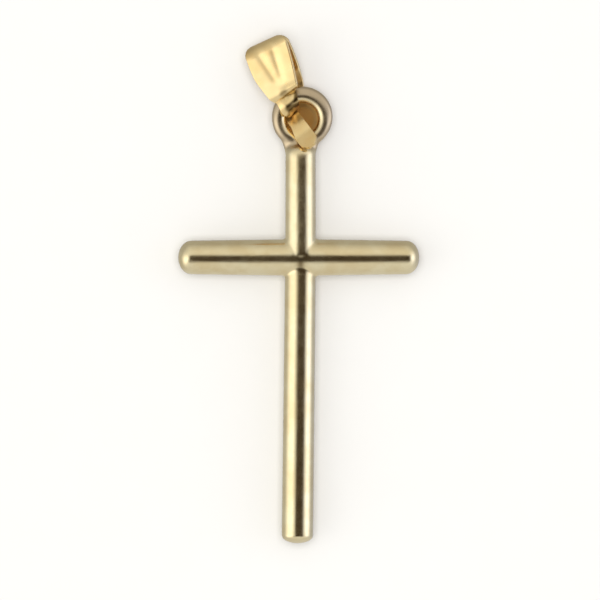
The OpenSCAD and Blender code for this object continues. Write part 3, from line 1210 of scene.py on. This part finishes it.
    def strip(self, name: str, start: Stage, end: Stage, faces: tuple[int, int]) -> bpy.types.Object:
        """Fold one strip of sheet from a flat grid, thicken it and round its edges.

        Args:
            name: Name of the strip.
            start: Stage where it starts.
            end: Stage where it ends.
            faces: Faces along the strip and across it.

        Returns:
            The strip, in the bail's own frame.
        """
        deselect()
        bpy.ops.mesh.primitive_grid_add(x_subdivisions=faces[1], y_subdivisions=faces[0], size=2)
        strip = added(name)
        for point in strip.data.vertices:
            stage = min(mix(start, end, (point.co.y + 1) / 2), end - self.end_short)
            point.co = self.point(stage, point.co.x)
        bpy.ops.object.mode_set(mode="EDIT")
        bpy.ops.mesh.select_all(action="SELECT")
        bpy.ops.mesh.normals_make_consistent(inside=False)
        bpy.ops.object.mode_set(mode="OBJECT")
        worked(strip, "SOLIDIFY", thickness=self.sheet, offset=0, use_even_offset=False)
        worked(
            strip, "BEVEL", width=self.sheet * self.edge_round, segments=self.edge_cuts,
            limit_method="ANGLE", angle_limit=self.edge_angle, profile=self.edge_profile,
        )
        worked(strip, "WELD", merge_threshold=self.weld)
        worked(strip, "SUBSURF", levels=1, render_levels=1)
        return strip

    def build(self) -> bpy.types.Object:
        """Fold the leaves and the tongue, and hang them on the eye ring.

        Returns:
            The finished bail.
        """
        leaves = self.strip("leaves", Stage.NECK, Stage.RISE, self.leaf_faces)
        tongue = self.strip("tongue", Stage.RISE, Stage.END, self.tongue_faces)
        # Painted shade on the back leaf behind the eye, and none on the tongue
        mark(leaves, "shade", lambda place: self.marks.shade(place, (self.eye_v, self.eye_u)))
        mark(tongue, "shade", lambda place: 0.0)
        # Dark painted shade in the nook of the hook, along the eye's side and at the fold
        for sheet in (leaves, tongue):
            mark(sheet, "painted_deep_shade", self.marks.deep_shade_share)
        bail = joined("bail_sheet", [leaves, tongue])
        eye = self.cross.eye
        grip = Vector((math.cos(self.grip_angle), math.sin(self.grip_angle), 0)) * self.cross.eye_r
        set_down(bail, (0, 0, self.lean), eye + grip)
        bring_to_metres(bail)
        return bail

    def dress(self, bail: bpy.types.Object) -> None:
        """Polish the bail and fix it to its body.

        Args:
            bail: The finished bail.
        """
        bail.data.materials.clear()
        bail.data.materials.append(self.gold.made())
        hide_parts("bail")
        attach(bail, "root")


@dataclass(frozen=True)
class SoftBox:
    """A soft panel light, by the direction that it stands in as seen from the pendant."""

    name: str
    bearing: float
    zenith: float
    size: tuple[float, float]
    radiance: float
    distance: float
    mirrored: bool

    def hang(self) -> bpy.types.Object:
        """Put the panel up, facing the pendant.

        Returns:
            The light.
        """
        deselect()
        bearing, zenith = math.radians(self.bearing), math.radians(self.zenith)
        way = Vector(
            (math.sin(zenith) * math.cos(bearing), math.sin(zenith) * math.sin(bearing), math.cos(zenith))
        )
        bpy.ops.object.light_add(type="AREA", location=way * self.distance)
        lamp = bpy.context.object
        lamp.name = lamp.data.name = self.name
        lamp.rotation_euler = (0, zenith, bearing)
        lamp.data.shape = "RECTANGLE"
        lamp.data.size, lamp.data.size_y = self.size
        lamp.data.energy = self.radiance * math.pi * self.size[0] * self.size[1]
        lamp.visible_glossy = self.mirrored
        lamp.visible_camera = False
        return lamp


class Sums:
    """Builds the sums of a room's nodes."""

    def __init__(self, tree: bpy.types.NodeTree) -> None:
        """Start in one node tree."""
        self.tree = tree

    def feed(self, socket: bpy.types.NodeSocket, value: object) -> None:
        """Set an input to a number or a colour, or join an output to it.

        Args:
            socket: The input.
            value: Number, colour or output.
        """
        if isinstance(value, bpy.types.NodeSocket):
            self.tree.links.new(value, socket)
        else:
            socket.default_value = value

    def maths(self, kind: str, *inputs: object) -> bpy.types.NodeSocket:
        """Add one sum and return its output.

        Args:
            kind: The sum, by its name in Blender.
            *inputs: Numbers or outputs of other nodes.

        Returns:
            The output.
        """
        made = self.tree.nodes.new("ShaderNodeMath")
        made.operation = kind
        for socket, value in zip(made.inputs, inputs):
            self.feed(socket, value)
        return made.outputs[0]

    def ramp(self, value: object, low: float, high: float, gentle: bool = True) -> bpy.types.NodeSocket:
        """Share from 0 to 1 that a value has reached between two levels.

        Args:
            value: Output that is read.
            low: Level at which the share is 0.
            high: Level at which it is 1.
            gentle: Whether the share sets in and ends gently.

        Returns:
            The share.
        """
        made = self.tree.nodes.new("ShaderNodeMapRange")
        made.interpolation_type = "SMOOTHSTEP" if gentle else "LINEAR"
        self.feed(made.inputs["Value"], value)
        made.inputs["From Min"].default_value, made.inputs["From Max"].default_value = low, high
        return made.outputs["Result"]

    def blend(self, share: object, a: object, b: object, kind: str = "FLOAT") -> bpy.types.NodeSocket:
        """Value or colour a share of the way from a to b.

        Args:
            share: Share that b has.
            a: Value at share 0.
            b: Value at share 1.
            kind: FLOAT for a value, RGBA for a colour.

        Returns:
            The blend.
        """
        made = self.tree.nodes.new("ShaderNodeMix")
        made.data_type = kind
        live = [socket for socket in made.inputs if socket.enabled]
        for name, value in (("Factor", share), ("A", a), ("B", b)):
            self.feed(next(socket for socket in live if socket.name == name), value)
        return next(socket for socket in made.outputs if socket.enabled)


@dataclass(frozen=True)
class Quarter:
    """Light from one quarter of the room: its level high up, its level below, and its tint."""

    high: float
    low: float
    tint: Colour

    def lit(self, level: float) -> tuple[float, ...]:
        """The tint at a level, as a colour with its fourth value."""
        return (*(c * level for c in self.tint), 1.0)


@dataclass(frozen=True)
class SoftRoom:
    """The even room round the pendant: dark overhead, bright to the left and right, soft between.

    Its levels are read from the direction of sight, as X, Y and Z of a unit vector.
    """

    dark: Colour = (0.045, 0.031, 0.015)
    east: Quarter = Quarter(1.7, 0.47, (0.98, 1.0, 1.1))
    west: Quarter = Quarter(1.6, 0.5, (1.0, 0.985, 0.93))
    north: Quarter = Quarter(0.78, 0.42, (1.0, 0.97, 0.88))
    south: Quarter = Quarter(0.72, 0.64, (1.0, 0.99, 0.95))
    east_way: float = math.radians(-2)
    west_way: float = math.radians(195)
    narrow: float = 7.0
    hole_middle: tuple[float, float] = (0.165, -0.14)
    hole_reach: tuple[float, float] = (0.565, 0.35)
    hole_ramp: tuple[float, float] = (0.58, 1.56)
    hole_slant: float = 0.1
    hole_power: float = 4.0
    hole_below: tuple[float, float] = (0.3, -0.1)
    north_ramp: tuple[float, float] = (-0.3, 0.3)
    ends_ramp: tuple[float, float] = (-0.15, 0.75)
    sides_ramp: tuple[float, float] = (-0.45, 0.4)
    least: float = 0.000001

    def paint(self, tree: bpy.types.NodeTree) -> None:
        """Build the room's nodes, which read the direction alone.

        Args:
            tree: The world's node tree.
        """
        sums = Sums(tree)
        place = tree.nodes.new("ShaderNodeTexCoord")
        parts = tree.nodes.new("ShaderNodeSeparateXYZ")
        tree.links.new(place.outputs["Generated"], parts.inputs[0])
        x, y, z = parts.outputs
        offs = []
        for value, middle, reach in zip((x, y), self.hole_middle, self.hole_reach):
            if value is y:
                value = sums.maths("MULTIPLY_ADD", x, -self.hole_slant, y)
            off = sums.maths("DIVIDE", sums.maths("SUBTRACT", value, middle), reach)
            offs.append(sums.maths("POWER", sums.maths("ABSOLUTE", off), self.hole_power))
        away = sums.maths("POWER", sums.maths("ADD", *offs), 1 / self.hole_power)
        hole = sums.maths("MAXIMUM", sums.ramp(away, *self.hole_ramp), sums.ramp(z, *self.hole_below))
        squares = [sums.maths("MULTIPLY", value, value) for value in (x, y)]
        flat = sums.maths("SQRT", sums.maths("MAXIMUM", sums.maths("ADD", *squares), self.least))
        shares = []
        for way in (self.west_way, self.east_way):
            along = sums.maths("MULTIPLY", x, math.cos(way))
            along = sums.maths("ADD", along, sums.maths("MULTIPLY", y, math.sin(way)))
            toward = sums.maths("MAXIMUM", sums.maths("DIVIDE", along, flat), 0.0)
            shares.append(sums.maths("POWER", toward, self.narrow))
        north = sums.ramp(y, *self.north_ramp)
        levels = []
        for name in ("low", "high"):
            w, e, s, n = (q.lit(getattr(q, name)) for q in (self.west, self.east, self.south, self.north))
            level = sums.blend(north, s, n, "RGBA")
            for share, side in zip(shares, (w, e)):
                level = sums.blend(share, level, side, "RGBA")
            levels.append(level)
        side = sums.maths("ADD", *shares)
        ends = sums.ramp(z, *self.ends_ramp, gentle=False)
        up = sums.blend(side, ends, sums.ramp(z, *self.sides_ramp))
        light = sums.blend(hole, (*self.dark, 1), sums.blend(up, *levels, "RGBA"), "RGBA")
        sums.feed(tree.nodes["Background"].inputs["Color"], light)


@dataclass
class Studio:
    """The pale floor, the soft light, the room that the metal mirrors and the camera itself."""

    view_mm: float = 42.27
    middle_mm: tuple[float, float] = (0.088, -0.75)
    camera_height: float = 0.6013
    sharp_mm: float = 1.3
    sensor: float = 36.0
    clip: tuple[float, float] = (0.01, 10.0)
    floor_size: float = 3.0
    floor_card: PlainCard = PlainCard("pale_floor", (0.86, 0.855, 0.845))
    top_box: SoftBox = SoftBox("top_box", 90, 0, (0.3, 0.3), radiance=5.3, distance=0.5, mirrored=False)
    room: SoftRoom = SoftRoom()

    def camera(self) -> None:
        """Stand the camera straight above the pendant, as in the photograph."""
        deselect()
        x, y = self.middle_mm
        bpy.ops.object.camera_add(location=(x * MM, y * MM, self.camera_height), rotation=(0, 0, 0))
        eye = bpy.context.object
        eye.name = "camera"
        eye.data.sensor_width = self.sensor
        eye.data.lens = self.sensor * (self.camera_height - self.sharp_mm * MM) / (self.view_mm * MM)
        eye.data.clip_start, eye.data.clip_end = self.clip
        bpy.context.scene.camera = eye

    def floor(self) -> None:
        """Lay the pale floor."""
        deselect()
        bpy.ops.mesh.primitive_plane_add(size=self.floor_size)
        floor = added("floor")
        floor.data.materials.append(self.floor_card.made())
        floor.visible_glossy = False

    def light(self) -> None:
        """Paint the room's light and put up the panel."""
        world = bpy.data.worlds.new("room")
        bpy.context.scene.world = world
        world.use_nodes = True
        self.room.paint(world.node_tree)
        self.top_box.hang()
        bpy.context.scene.view_settings.view_transform = "Standard"
        bpy.context.scene.view_settings.look = "None"

    def build(self) -> None:
        """Set the whole studio up."""
        self.camera()
        self.floor()
        self.light()


def main() -> None:
    """Build the studio and the pendant, piece by piece, and log their face counts."""
    logging.basicConfig(level=logging.INFO, format="%(name)s: %(message)s", stream=sys.stdout)
    Studio().build()
    cross = CrossBody()
    for assembly in (cross, FoldedBail(cross)):
        piece = assembly.build()
        assembly.dress(piece)
        log.info("%s: %d faces", piece.name, len(piece.data.polygons))


if __name__ == "__main__":
    main()
